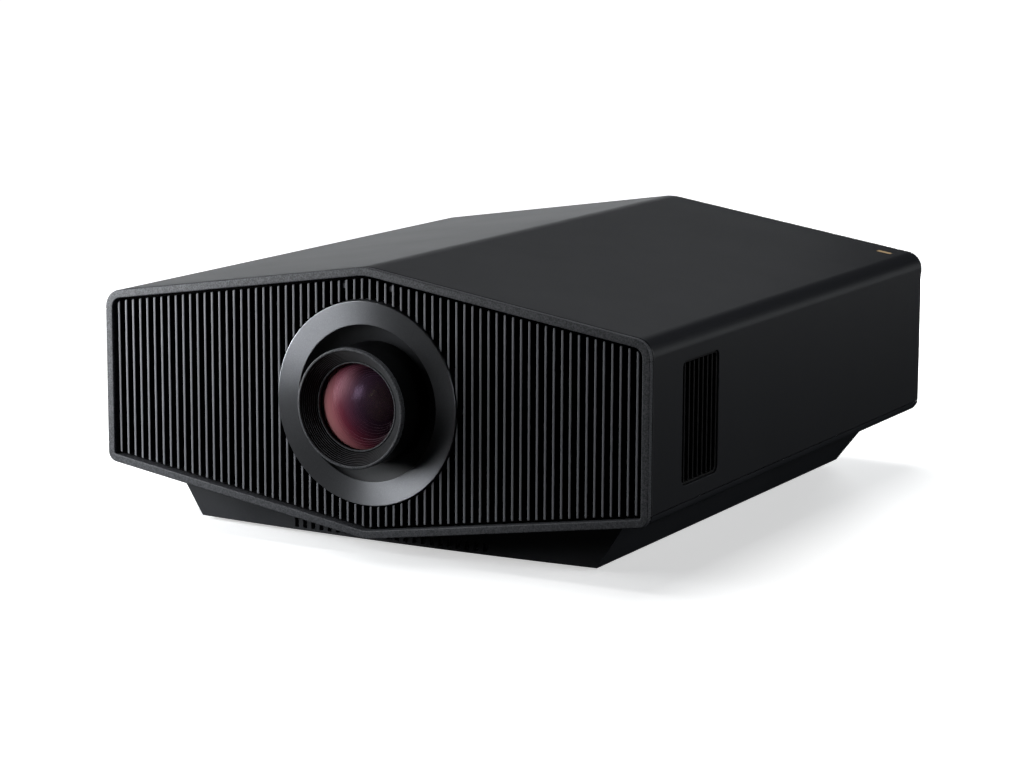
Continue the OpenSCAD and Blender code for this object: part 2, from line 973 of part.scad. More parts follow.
module optics_housing() {
    t = 6;
    color(charcoal)
    difference() {
        union() {
            difference() {
                block([housing_x0, housing_x1], [housing_y0, housing_y1], [housing_z0, housing_z1]);
                block([housing_x0 + t, housing_x1 - t], [housing_y0 + t, housing_y1 - t],
                    [housing_z0 + t, housing_z1 + 1]);
            }
            block([-21, 21], [prism_y - 21, prism_y + 21], [housing_z0 + 2, lens_z - 21]);
        }
        rod_y(0, housing_y0 - 1, housing_y0 + t + 1, lens_z, 32);
        rod_y(wheel_x, housing_y1 - t - 1, housing_y1 + 1, lens_z, 14);
    }
}

module colour_prism() {
    color([0.7, 0.8, 0.85])
    block([-21, 21], [prism_y - 21, prism_y + 21], [lens_z - 21, lens_z + 21]);
}

module imager_panel() {
    block([25, 29], [prism_y - 22, prism_y + 22], [housing_z0 + 6, lens_z + 24]);
    for (i = [-3:3])
        block([29, 37], [prism_y + i * 6 - 1, prism_y + i * 6 + 1], [lens_z - 22, lens_z + 22]);
}

module imager_panels() {
    color(alu)
    for (a = [0, 90, 180])
        translate([0, prism_y, 0])
            rotate(a)
                translate([0, -prism_y, 0])
                    imager_panel();
}

module phosphor_wheel() {
    color(brass)
    difference() {
        union() {
            rod_y(wheel_x, wheel_y, wheel_y + 2, lens_z, 30);
            rod_y(wheel_x, wheel_y - 2, wheel_y + 5, lens_z, 8);
            rod_y(wheel_x, wheel_y + 5, wheel_y + 20, lens_z, 1.5);
        }
        for (a = [0:60:300])
            rod_y(wheel_x + 14 * cos(a), wheel_y - 1, wheel_y + 3, lens_z + 14 * sin(a), 3);
    }
}

module wheel_motor() {
    color(black)
    difference() {
        union() {
            rod_y(wheel_x, wheel_y + 6, wheel_y + 30, lens_z, 14);
            block([wheel_x - 12, wheel_x + 12], [wheel_y + 10, wheel_y + 26], [housing_z0 + 6, lens_z]);
        }
        rod_y(wheel_x, wheel_y + 5, wheel_y + 22, lens_z, 1.5 + running);
    }
}

module laser_module() {
    color(steel)
    difference() {
        block([wheel_x - 40, wheel_x + 40], [housing_y1, housing_y1 + 34], [lens_z - 40, lens_z + 40]);
        rod_y(wheel_x, housing_y1 - 1, housing_y1 + 8, lens_z, 14);
    }
}

module light_sink() {
    sink_y = housing_y1 + 34;
    color(alu) {
        block([wheel_x - 45, wheel_x + 45], [sink_y, sink_y + 6], [lens_z - 46, lens_z + 46]);
        for (i = [-7:7])
            block([wheel_x + i * 6 - 1, wheel_x + i * 6 + 1], [sink_y + 6, sink_y + 52],
                [lens_z - 46, lens_z + 46]);
    }
}

module circuit_boards() {
    board_z = housing_z1 + 12;
    board_green = [0.05, 0.22, 0.14];
    control_x = plate_inner_x + 5 + button_travel + gap;
    color(board_green)
        block([-140, 140], [face_y + 182, face_y + 480], [board_z, board_z + 1.6]);
    color(board_green)
        block([control_x, control_x + 1.6], [control_y - 54, control_y + 54],
            [control_z - 19, control_z + 19]);
    color(board_green)
        block([plate_c[0] - 78, plate_c[0] + 78], [socket_front - 1.6, socket_front],
            [plate_c[1] - 22, plate_c[1] + 24]);
    color(black) {
        for (x = [housing_x0 + 3, housing_x1 - 12], y = [housing_y0 + 3, housing_y1 - 3])
            rod_z(x, y, housing_z1, board_z, 2.5);
        block([-30, 10], [face_y + 250, face_y + 290], [board_z + 1.6, board_z + 6]);
        block([-110, -80], [face_y + 230, face_y + 260], [board_z + 1.6, board_z + 5]);
        block([50, 90], [face_y + 330, face_y + 360], [board_z + 1.6, board_z + 8]);
        block([-120, -90], [face_y + 400, face_y + 460], [board_z + 1.6, board_z + 12]);
    }
}

module power_supply() {
    x = [-160, -70];
    y = [face_y + 235, face_y + 425];
    color(alu)
    difference() {
        block(x, y, [20, 82]);
        block(x + [2, -2], y + [2, -2], [22, 80]);
        for (i = [0:11])
            block([-135, -95], [y[0] + 14 + i * 14, y[0] + 18 + i * 14], [79, 83]);
    }
}

// Fans behind the fins

module fan_frames() {
    color(black)
    both_sides()
        difference() {
            union() {
                difference() {
                    along_y(fan_y, fan_y + fan_t)
                        round_rect([fan_x, lens_z], [fan_size, fan_size], 5);
                    rod_y(fan_x, fan_y - 1, fan_y + fan_t + 1, lens_z, fan_size / 2 - 2);
                }
                rod_y(fan_x, fan_y + fan_t - 5, fan_y + fan_t, lens_z, 17);
                for (a = [0, 90])
                    translate([fan_x, 0, lens_z])
                        rotate([0, a + 45, 0])
                            block([-45.5, 45.5], [fan_y + fan_t - 3, fan_y + fan_t], [-2, 2]);
            }
            rod_y(fan_x, fan_y + fan_t - 6, fan_y + fan_t - 1, lens_z, 2 + running);
            for (dx = [-41, 41], dz = [-41, 41])
                rod_y(fan_x + dx, fan_y - 1, fan_y + fan_t + 1, lens_z + dz, 2.2);
        }
}

module fan_rotor() {
    color(charcoal) {
        rod_y(fan_x, fan_y + 2, fan_y + fan_t - 6, lens_z, 16);
        rod_y(fan_x, fan_y + fan_t - 6, fan_y + fan_t - 2, lens_z, 2);
        for (i = [0:blade_count - 1])
            translate([fan_x, fan_y + 10.5, lens_z])
                rotate([0, i * 360 / blade_count, 0])
                    rotate([38, 0, 0])
                        block([14, 42], [-0.9, 0.9], [-9, 9]);
    }
}

module fan_rotor_right() {
    fan_rotor();
}

module fan_rotor_left() {
    mirror([1, 0, 0])
        fan_rotor();
}

base_pan();
top_cover();
front_bezel();
front_grille();
grille_tabs();
lens_ring();
side_vents();
rear_panel();
rear_vent();
connector_plate();
hdmi_sockets();
data_sockets();
mini_jacks();
power_inlet();
control_plate();
status_light();
ir_window();
cover_screws();
rear_feet();
left_foot_pad();
left_foot_wheel();
right_foot_pad();
right_foot_wheel();
power_button();
input_button();
menu_button();
lens_button();
up_button();
down_button();
left_button();
right_button();
enter_button();
lens_frame();
lift_rods();
lift_motor();
lift_screw();
lift_plate();
cross_rods();
cross_motor();
cross_screw();
cross_plate();
lens_barrel();
front_lens();
lens_motors();
zoom_ring();
zoom_pinion();
focus_ring();
focus_pinion();
optics_housing();
colour_prism();
imager_panels();
laser_module();
light_sink();
phosphor_wheel();
wheel_motor();
circuit_boards();
power_supply();
fan_frames();
fan_rotor_left();
fan_rotor_right();
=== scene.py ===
import json
import math

import bmesh
import bpy
from mathutils import Matrix, Vector


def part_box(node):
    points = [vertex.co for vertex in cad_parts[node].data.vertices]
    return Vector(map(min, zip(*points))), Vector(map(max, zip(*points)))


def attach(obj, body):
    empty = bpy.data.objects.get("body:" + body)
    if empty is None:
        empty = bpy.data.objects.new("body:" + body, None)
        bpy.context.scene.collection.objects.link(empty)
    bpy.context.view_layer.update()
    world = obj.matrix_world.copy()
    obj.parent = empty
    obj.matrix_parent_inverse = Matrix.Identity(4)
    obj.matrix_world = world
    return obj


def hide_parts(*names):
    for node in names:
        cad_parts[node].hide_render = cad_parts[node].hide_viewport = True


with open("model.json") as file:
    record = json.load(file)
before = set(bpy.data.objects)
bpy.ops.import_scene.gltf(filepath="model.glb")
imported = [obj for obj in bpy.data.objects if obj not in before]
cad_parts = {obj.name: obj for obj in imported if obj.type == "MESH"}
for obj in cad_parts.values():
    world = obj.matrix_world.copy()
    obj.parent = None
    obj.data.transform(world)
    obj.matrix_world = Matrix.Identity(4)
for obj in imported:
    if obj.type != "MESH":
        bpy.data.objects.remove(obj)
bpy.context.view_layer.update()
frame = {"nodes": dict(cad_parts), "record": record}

# Places from the CAD frame, in metres. X runs across, -Y is the front, +Z is up.
MM = 0.001
bezel_lo, bezel_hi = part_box("front_bezel")
ring_lo, ring_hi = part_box("lens_ring")
cover_lo, cover_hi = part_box("top_cover")
HALF_W = bezel_hi.x
FACE_Y = bezel_lo.y
LIP_END = bezel_hi.y
LENS_Z = (ring_lo.z + ring_hi.z) / 2
COVER_Y = cover_lo.y
REAR_Y = cover_hi.y
SEAM_Z = cover_lo.z

# The body's outline seen from the front, as part.scad draws it
SIDE_HALF = 65 * MM
APEX_RISE = 100.5 * MM
CORNERS = [Vector((x, z)) for x, z in (
    (HALF_W, LENS_Z - SIDE_HALF), (HALF_W, LENS_Z + SIDE_HALF), (0, LENS_Z + APEX_RISE),
    (-HALF_W, LENS_Z + SIDE_HALF), (-HALF_W, LENS_Z - SIDE_HALF), (0, LENS_Z - APEX_RISE))]
CORNER_RADII = [r * MM for r in (8, 14, 45, 14, 8, 30)]


# Mesh building

def corner_arc(a, c, b, radius, steps):
    """Points of an arc of that radius in the corner c of the path a, c, b."""
    u, v = (a - c).normalized(), (b - c).normalized()
    half = math.acos(max(-1, min(1, u.dot(v)))) / 2
    middle = c + (u + v).normalized() * radius / math.sin(half)
    start = c + u * radius / math.tan(half) - middle
    end = c + v * radius / math.tan(half) - middle
    first = math.atan2(start.y, start.x)
    sweep = (math.atan2(end.y, end.x) - first + math.pi) % math.tau - math.pi
    return [middle + radius * Vector((math.cos(first + sweep * i / steps),
                                      math.sin(first + sweep * i / steps)))
            for i in range(steps + 1)]


def inset_corner(a, c, b, t):
    """The corner c of the path a, c, b moved inwards by t."""
    u, v = (a - c).normalized(), (b - c).normalized()
    half = math.acos(u.dot(v)) / 2
    return c + (u + v).normalized() * t / math.sin(half)


def outline_arcs(t, steps=14):
    """The outline's six corner arcs moved inwards by t, anticlockwise from the lower right."""
    n = len(CORNERS)
    moved = [inset_corner(CORNERS[i - 1], CORNERS[i], CORNERS[(i + 1) % n], t) for i in range(n)]
    return [corner_arc(moved[i - 1], moved[i], moved[(i + 1) % n],
                       max(CORNER_RADII[i] - t, 0.4 * MM), steps) for i in range(n)]


def quarter_turn(steps):
    """The angles from 0 to a quarter turn in equal steps."""
    return [math.pi / 2 * i / steps for i in range(steps + 1)]


def softened(points, steps=4):
    """A closed 2D profile of (x, y, fillet radius) corners with its corners rounded."""
    flat = [Vector(p[:2]) for p in points]
    out = []
    for i, p in enumerate(points):
        if p[2] > 0:
            out += corner_arc(flat[i - 1], flat[i], flat[(i + 1) % len(flat)], p[2], steps)
        else:
            out.append(flat[i])
    return out


def even_normals(obj):
    """Lets the large flat faces set the shading, so that fillets stay crisp."""
    normals = obj.modifiers.new("Normals", "WEIGHTED_NORMAL")
    normals.keep_sharp = True
    normals.weight = 60


def as_object(name, mesh):
    """A scene object with the mesh of a bmesh, which is freed."""
    data = bpy.data.meshes.new(name)
    mesh.to_mesh(data)
    mesh.free()
    obj = bpy.data.objects.new(name, data)
    bpy.context.scene.collection.objects.link(obj)
    return obj


def make_piece(name, mesh, body, replaced=(), smooth=35, even=True):
    """An object from a bmesh, smooth up to an angle, riding on a CAD body."""
    bmesh.ops.recalc_face_normals(mesh, faces=mesh.faces)
    piece = as_object(name, mesh)
    piece.data.shade_smooth()
    piece.data.set_sharp_from_angle(angle=math.radians(smooth))
    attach(piece, body)
    if replaced:
        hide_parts(*replaced)
    if even:
        even_normals(piece)
    return piece


def skin(mesh, rings, closed=False):
    """Adds faces between rings of points. Each ring is a closed loop; open ends get a cap."""
    loops = [[mesh.verts.new(p) for p in ring] for ring in rings]
    n = len(loops)
    for i in range(n if closed else n - 1):
        a, b = loops[i], loops[(i + 1) % n]
        for k in range(len(a)):
            j = (k + 1) % len(a)
            mesh.faces.new((a[k], a[j], b[j], b[k]))
    if not closed:
        mesh.faces.new(loops[0])
        mesh.faces.new(list(reversed(loops[-1])))


def lens_point(radius, depth, i, steps):
    """Point i of a circle round the lens axis, that deep behind the rim's face."""
    a = math.tau * i / steps
    return Vector((radius * math.cos(a), FACE_Y + depth, LENS_Z + radius * math.sin(a)))


def lathe(mesh, profile, steps=160):
    """Turns a closed profile of (radius, depth behind the face) about the lens axis."""
    rings = [[lens_point(r, d, i, steps) for r, d in profile] for i in range(steps)]
    skin(mesh, rings, closed=True)


def dome(mesh, radius, edge, crown, thickness, rings=14, steps=96):
    """A crowned lens element of that radius, its edge that deep, bulging to the front."""
    def front(r):
        return edge - (math.sqrt(crown ** 2 - r ** 2) - math.sqrt(crown ** 2 - radius ** 2))
    outer = [(radius * i / rings, front(radius * i / rings)) for i in range(1, rings + 1)]
    back = [(r, d + thickness) for r, d in reversed(outer)]
    tip = mesh.verts.new((0, FACE_Y + front(0), LENS_Z))
    tail = mesh.verts.new((0, FACE_Y + front(0) + thickness, LENS_Z))
    loops = [[mesh.verts.new(lens_point(r, d, i, steps)) for i in range(steps)]
             for r, d in outer + back]
    for i in range(steps):
        j = (i + 1) % steps
        mesh.faces.new((tip, loops[0][j], loops[0][i]))
        mesh.faces.new((tail, loops[-1][i], loops[-1][j]))
        for a, b in zip(loops, loops[1:]):
            mesh.faces.new((a[i], a[j], b[j], b[i]))


def rounded_box(mesh, lo, hi, radius, segments=3):
    """A box with all its edges rounded."""
    made = bmesh.ops.create_cube(mesh, size=1)["verts"]
    lo, hi = Vector(lo), Vector(hi)
    for v in made:
        v.co = Vector(((lo[k] + hi[k]) / 2 + v.co[k] * (hi[k] - lo[k]) for k in range(3)))
    edges = list({e for v in made for e in v.link_edges})
    bmesh.ops.bevel(mesh, geom=edges, offset=radius, segments=segments, profile=0.5,
                    affect="EDGES", clamp_overlap=True)


def bevelled(obj, width, angle):
    """Gives edges sharper than an angle in degrees a small bevel, and evens the normals."""
    bevel = obj.modifiers.new("Bevel", "BEVEL")
    bevel.width = width
    bevel.segments = 2
    bevel.limit_method = "ANGLE"
    bevel.angle_limit = math.radians(angle)
    even_normals(obj)


# Materials

class Paint:
    """A node material under construction, in the object's own coordinates."""

    def __init__(self, name, **sockets):
        self.material = bpy.data.materials.new(name)
        self.material.use_nodes = True
        self.tree = self.material.node_tree
        self.shader = self.tree.nodes["Principled BSDF"]
        for key, value in sockets.items():
            self.shader.inputs[key.replace("_", " ")].default_value = value
        self.place = self.tree.nodes.new("ShaderNodeTexCoord").outputs["Object"]

    def node(self, kind, **values):
        made = self.tree.nodes.new(kind)
        for key, value in values.items():
            setattr(made, key, value)
        return made

    def link(self, a, b):
        self.tree.links.new(a, b)

    def noise(self, size, detail=3.0, rough=0.55, squash=None):
        """Noise with features of about that size in metres; squash stretches it along an axis."""
        made = self.node("ShaderNodeTexNoise")
        made.inputs["Scale"].default_value = 1 / size
        made.inputs["Detail"].default_value = detail
        made.inputs["Roughness"].default_value = rough
        vector = self.place
        if squash:
            mapping = self.node("ShaderNodeMapping")
            mapping.inputs["Scale"].default_value = squash
            self.link(vector, mapping.inputs["Vector"])
            vector = mapping.outputs["Vector"]
        self.link(vector, made.inputs["Vector"])
        return made.outputs["Fac"]

    def ramp(self, fac, stops):
        """A colour ramp over (position, colour) stops."""
        made = self.node("ShaderNodeValToRGB")
        elements = made.color_ramp.elements
        while len(elements) < len(stops):
            elements.new(0.5)
        for element, (where, colour) in zip(elements, stops):
            element.position = where
            element.color = (*colour, 1)
        self.link(fac, made.inputs["Fac"])
        return made.outputs["Color"]

    def span(self, fac, low, high, start=0.3, end=0.7):
        """Maps a value's useful range onto low to high."""
        made = self.node("ShaderNodeMapRange")
        for key, value in zip(("From Min", "From Max", "To Min", "To Max"),
                              (start, end, low, high)):
            made.inputs[key].default_value = value
        self.link(fac, made.inputs["Value"])
        return made.outputs["Result"]

    def colour(self, output):
        self.link(output, self.shader.inputs["Base Color"])

    def roughness(self, output):
        self.link(output, self.shader.inputs["Roughness"])

    def bump(self, height, depth, below=None):
        """Adds surface relief of that depth in metres, on top of another bump if given."""
        made = self.node("ShaderNodeBump")
        made.inputs["Distance"].default_value = depth
        made.inputs["Strength"].default_value = 1.0
        self.link(height, made.inputs["Height"])
        if below:
            self.link(below, made.inputs["Normal"])
        self.link(made.outputs["Normal"], self.shader.inputs["Normal"])
        return made.outputs["Normal"]


def scaled(colour, k):
    return tuple(c * k for c in colour)


def grained(name, colour, rough, grain, depth, mottle=0.1, rough_spread=0.06, **sockets):
    """A moulded or painted surface: fine grain, a soft mottle, and uneven gloss."""
    paint = Paint(name, **sockets)
    fine = paint.noise(grain, detail=2)
    cloud = paint.noise(60 * MM, detail=4)
    paint.colour(paint.ramp(paint.noise(grain * 2.2, detail=2, rough=0.7), [
        (0.35, scaled(colour, 1 - mottle)), (0.5, colour), (0.65, scaled(colour, 1 + mottle))]))
    paint.roughness(paint.span(cloud, rough - rough_spread, rough + rough_spread))
    paint.bump(fine, depth)
    return paint.material


def speckled(name, colour, rough, grain, depth, contrast, **sockets):
    """Textured paint with light and dark specks that show at arm's length."""
    paint = Paint(name, **sockets)
    specks = paint.noise(grain, detail=3, rough=0.75)
    dark, light = scaled(colour, 1 - contrast), scaled(colour, 1 + 1.3 * contrast)
    paint.colour(paint.ramp(specks, [(0.40, dark), (0.5, colour), (0.62, light)]))
    paint.roughness(paint.span(specks, rough + 0.08, rough - 0.08))
    paint.bump(specks, depth)
    return paint.material


def lens_radius(paint):
    """The distance from the lens axis, as a node output."""
    shift = paint.node("ShaderNodeVectorMath", operation="SUBTRACT")
    paint.link(paint.place, shift.inputs[0])
    shift.inputs[1].default_value = (0, 0, LENS_Z)
    flat = paint.node("ShaderNodeVectorMath", operation="MULTIPLY")
    paint.link(shift.outputs["Vector"], flat.inputs[0])
    flat.inputs[1].default_value = (1, 0, 1)
    length = paint.node("ShaderNodeVectorMath", operation="LENGTH")
    paint.link(flat.outputs["Vector"], length.inputs[0])
    return length.outputs["Value"]


def turned_metal(name, colour, rough, anisotropic, line=0.2 * MM, **sockets):
    """Metal-effect paint brushed in circles round the lens axis, with fine specks."""
    paint = Paint(name, Anisotropic=anisotropic, **sockets)
    lines = paint.node("ShaderNodeTexNoise", noise_dimensions="1D")
    lines.inputs["Scale"].default_value = 1 / line
    lines.inputs["Detail"].default_value = 3
    paint.link(lens_radius(paint), lines.inputs["W"])
    specks = paint.noise(0.8 * MM, detail=3, rough=0.8)
    paint.colour(paint.ramp(specks, [
        (0.3, scaled(colour, 0.9)), (0.5, colour), (0.72, scaled(colour, 1.16))]))
    paint.roughness(paint.span(lines.outputs["Fac"], rough - 0.02, rough + 0.03))
    below = paint.bump(lines.outputs["Fac"], 0.001 * MM)
    paint.bump(specks, 0.010 * MM, below)
    tangent = paint.node("ShaderNodeTangent", direction_type="RADIAL", axis="Y")
    paint.link(tangent.outputs["Tangent"], paint.shader.inputs["Tangent"])
    paint.shader.inputs["Anisotropic Rotation"].default_value = 0.25
    return paint.material


def brushed(name, colour, rough, squash, **sockets):
    """Rolled or drawn metal with long fine lines."""
    paint = Paint(name, Metallic=1.0, **sockets)
    lines = paint.noise(0.5 * MM, detail=3, squash=squash)
    paint.colour(paint.ramp(lines, [(0.3, scaled(colour, 0.82)), (0.7, scaled(colour, 1.1))]))
    paint.roughness(paint.span(lines, rough - 0.06, rough + 0.1))
    paint.bump(lines, 0.01 * MM)
    return paint.material


def circuit_board(name):
    """Solder mask with copper tracks, pads and a few darker parts."""
    paint = Paint(name, Roughness=0.4, Specular_IOR_Level=0.5)
    brick = paint.node("ShaderNodeTexBrick")
    brick.inputs["Scale"].default_value = 60
    brick.inputs["Mortar Size"].default_value = 0.03
    brick.inputs["Color1"].default_value = (0.008, 0.05, 0.028, 1)
    brick.inputs["Color2"].default_value = (0.010, 0.065, 0.034, 1)
    brick.inputs["Mortar"].default_value = (0.02, 0.11, 0.05, 1)
    paint.link(paint.place, brick.inputs["Vector"])
    paint.colour(brick.outputs["Color"])
    paint.roughness(paint.span(paint.noise(2 * MM), 0.3, 0.5))
    paint.bump(brick.outputs["Fac"], 0.03 * MM)
    return paint.material


def coated_glass(name, colour, rough, **sockets):
    """Coated optical glass: the coating's colour and gloss vary a little over the surface."""
    paint = Paint(name, **sockets)
    haze = paint.noise(12 * MM, detail=3)
    paint.colour(paint.ramp(haze, [(0.3, scaled(colour, 0.85)), (0.7, scaled(colour, 1.15))]))
    paint.roughness(paint.span(haze, rough, rough * 1.3 + 0.01))
    return paint.material


def sheen_painted_glass(name, stops, low, high, **sockets):
    """Front glass whose base colour and opacity follow the facing angle: a painted sheen of the
    coating, showing more, and redder, where the surface turns from the eye.
    """
    paint = Paint(name, **sockets)
    facing = paint.node("ShaderNodeLayerWeight").outputs["Facing"]
    # The colour ramp runs from violet where the glass faces the eye to pale pink at its rim: a
    # painted sheen of the coating.
    paint.colour(paint.ramp(facing, stops))
    paint.link(paint.span(facing, low, high, 0.12, 0.5), paint.shader.inputs["Alpha"])
    paint.roughness(paint.span(paint.noise(12 * MM), 0.32, 0.36))
    return paint.material


COVER_COLOUR = (0.0155, 0.0165, 0.0190)
RIM_COLOUR = (0.060, 0.062, 0.068)
# Pale colour of the fins' front edges: a painted highlight of the light they catch. The latch tabs
# wear it too.
FIN_HIGHLIGHT_COLOUR = (0.195, 0.200, 0.214)
RING_COLOUR = (0.37, 0.376, 0.395)

materials = {
    "cover_plastic": grained("cover_paint", COVER_COLOUR, 0.42, 0.35 * MM, 0.012 * MM,
                             rough_spread=0.012, Specular_IOR_Level=0.42),
    "rim_plastic": speckled("rim_paint", RIM_COLOUR, 0.5, 1.1 * MM, 0.07 * MM, 0.52,
                            Specular_IOR_Level=0.5),
    "fin_plastic": grained("fin_highlight_paint", FIN_HIGHLIGHT_COLOUR, 0.45, 0.5 * MM, 0.02 * MM,
                           Specular_IOR_Level=0.5),
    "ring_metal": turned_metal("ring_metal", RING_COLOUR, 0.30, 0.85, Metallic=0.9),
    "black_plastic": grained("black_plastic", (0.006, 0.006, 0.0065), 0.5, 0.4 * MM, 0.02 * MM,
                             Specular_IOR_Level=0.3),
    "button_plastic": grained("button_plastic", (0.022, 0.023, 0.026), 0.38, 0.3 * MM, 0.01 * MM),
    "rubber": grained("rubber", (0.012, 0.012, 0.012), 0.75, 0.9 * MM, 0.05 * MM,
                      Specular_IOR_Level=0.3),
    "steel": brushed("steel", (0.55, 0.56, 0.58), 0.34, (1, 14, 1)),
    "cast_alloy": grained("cast_alloy", (0.34, 0.345, 0.355), 0.52, 0.9 * MM, 0.06 * MM,
                          Metallic=0.9),
    "brass": brushed("brass", (0.60, 0.43, 0.17), 0.3, (1, 10, 1)),
    "lens_glass": sheen_painted_glass("front_glass", [
        (0.10, (0.10, 0.03, 0.07)), (0.30, (0.30, 0.05, 0.09)), (0.50, (0.75, 0.30, 0.31))],
        0.10, 0.75, Specular_IOR_Level=0.5, Specular_Tint=(1.0, 0.5, 0.6, 1)),
    "prism_glass": coated_glass("prism_glass", (0.35, 0.5, 0.6), 0.05, Alpha=0.5),
    "light_pipe": coated_glass("light_pipe", (0.55, 0.62, 0.58), 0.2, Alpha=0.8),
    "ir_plastic": grained("ir_plastic", (0.012, 0.0015, 0.003), 0.12, 1.5 * MM, 0.004 * MM),
    "board": circuit_board("circuit_board"),
}
# Near black for parts inside the case: partly their own dark finish, partly painted shade for the
# inside of the case seen through the grille.
dark_cast_and_shade = grained("dark_cast_and_shade", (0.007, 0.007, 0.008), 0.6, 0.8 * MM, 0.05 * MM,
                    Specular_IOR_Level=0.25)
# Near black that paints the shade in the gaps: on the fins' sides, and on the dust filter and
# grille frame behind them, which are black parts as well.
gap_shade_black = grained("gap_shade_black", (0.0012, 0.0012, 0.0013), 0.8, 0.8 * MM, 0.02 * MM,
                    Specular_IOR_Level=0.05)
skirt_paint = grained("skirt_paint", (0.040, 0.041, 0.044), 0.40, 0.5 * MM, 0.01 * MM)
hood_black = grained("hood_black", (0.0035, 0.0035, 0.004), 0.5, 0.4 * MM, 0.01 * MM,
                     Specular_IOR_Level=0.12)
# Paler grey for the hood's lands: a painted highlight of the light they catch.
land_highlight_paint = grained("land_highlight_paint", (0.060, 0.062, 0.066), 0.4, 0.4 * MM, 0.01 * MM)
# The cover's colour made 1.45 times lighter for the base pan: painted bounce light from the floor,
# which itself lights nothing.
base_bounce_paint = grained("base_bounce_paint", scaled(COVER_COLOUR, 1.45), 0.45, 0.5 * MM, 0.015 * MM)
mark_paint = grained("mark_paint", (0.55, 0.56, 0.58), 0.5, 0.4 * MM, 0.01 * MM)
gold_inlay = grained("gold_inlay", (0.62, 0.44, 0.24), 0.4, 0.4 * MM, 0.01 * MM, Metallic=0.15)


def wear(obj, *finishes):
    """Gives an object its materials, in the order of its faces' material numbers."""
    worn = obj.data.materials
    for i, finish in enumerate(finishes):
        if i < len(worn):
            worn[i] = finish
        else:
            worn.append(finish)


# Casing pieces

def build_cover():
    """The upper shell, from its front edge over the outside to the rear and back inside."""
    edge, back, wall = 1.2 * MM, 12 * MM, 3 * MM
    front_fillet = [(edge * (1 - math.sin(a)), COVER_Y + edge * (1 - math.cos(a)))
                    for a in quarter_turn(5)[1:]]
    rear_round = [(back * (1 - math.cos(a)), REAR_Y - back * (1 - math.sin(a)))
                  for a in quarter_turn(14)]
    # Inside the rear end: the lip round the rear panel, then a thicker stretch of the wall, as
    # distances in from the outside and forward from the rear
    rear_inside = [(inset * MM, REAR_Y - forward * MM) for inset, forward in (
        (14, 0), (14, 3), (7, 3), (7, 7), (4.8, 7), (4.8, 13), (3, 13))]
    profile = [(wall, COVER_Y), (edge, COVER_Y)] + front_fillet + rear_round + rear_inside
    columns = []
    for t, y in profile:
        arcs = outline_arcs(t, 20)
        path = [Vector((HALF_W - t, SEAM_Z))] + arcs[1] + arcs[2] + arcs[3]
        path.append(Vector((t - HALF_W, SEAM_Z)))
        columns.append([Vector((p.x, y, p.y)) for p in path])
    mesh = bmesh.new()
    skin(mesh, [list(ring) for ring in zip(*columns)])
    cover = make_piece("cover_shell", mesh, "chassis", ["top_cover"], even=False)
    for cutter in cover_cutters():
        cut = cover.modifiers.new("Cut", "BOOLEAN")
        cut.operation = "DIFFERENCE"
        cut.solver = "EXACT"
        cut.object = cutter
        applied(cover)
        bpy.data.objects.remove(cutter)
    bevelled(cover, 0.5 * MM, 50)
    return cover


def applied(obj):
    """Bakes an object's modifiers into its mesh."""
    graph = bpy.context.evaluated_depsgraph_get()
    data = bpy.data.meshes.new_from_object(obj.evaluated_get(graph))
    obj.modifiers.clear()
    old, obj.data = obj.data, data
    bpy.data.meshes.remove(old)


def opening_cutter(x0, x1, y, z, radius):
    """A temporary prism along X with a rounded rectangle's shape, to cut an opening with."""
    corners = ((y[0], z[0]), (y[1], z[0]), (y[1], z[1]), (y[0], z[1]))
    loop = softened([(*corner, radius) for corner in corners], 6)
    mesh = bmesh.new()
    skin(mesh, [[Vector((x, p.x, p.y)) for p in loop] for x in (x0, x1)])
    bmesh.ops.recalc_face_normals(mesh, faces=mesh.faces)
    return as_object("cutter", mesh)


def cover_cutters():
    """The openings of the side vents and of the control panel."""
    vent_lo, vent_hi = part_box("side_vents")
    plate_lo, plate_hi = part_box("control_plate")
    gap, lip, corner = 0.15 * MM, 4 * MM, 5 * MM
    inside, outside = HALF_W - 6 * MM, HALF_W + 2 * MM
    y = (vent_lo.y - gap, vent_hi.y + gap)
    z = (vent_lo.z - gap, vent_hi.z + gap)
    cutters = [opening_cutter(side * inside, side * outside, y, z, corner) for side in (-1, 1)]
    y = (plate_lo.y + lip - gap, plate_hi.y - lip + gap)
    z = (plate_lo.z + lip - gap, plate_hi.z - lip + gap)
    cutters.append(opening_cutter(-outside, -inside, y, z, corner))
    return cutters


# Height of the rim's hairline joints above and below the lens axis
JOINT_RISE = 51.5 * MM


def rim_stations(t, groove=0.0):
    """Points round the outline moved inwards by t, with those of the rim's hairline joints."""
    width = 0.28 * MM
    cut = ((-width, 0), (-width * 0.6, groove), (width * 0.6, groove), (width, 0))
    points = []
    for i, arc in enumerate(outline_arcs(t)):
        points += arc
        # The side walls follow the lower right and the upper left corner
        if i not in (0, 3):
            continue
        side = 1 if i == 0 else -1
        for z in (-JOINT_RISE, JOINT_RISE):
            z = z * side
            for dz, deep in cut:
                points.append(Vector((side * (HALF_W - t - deep), LENS_Z + z + dz * side)))
    return points


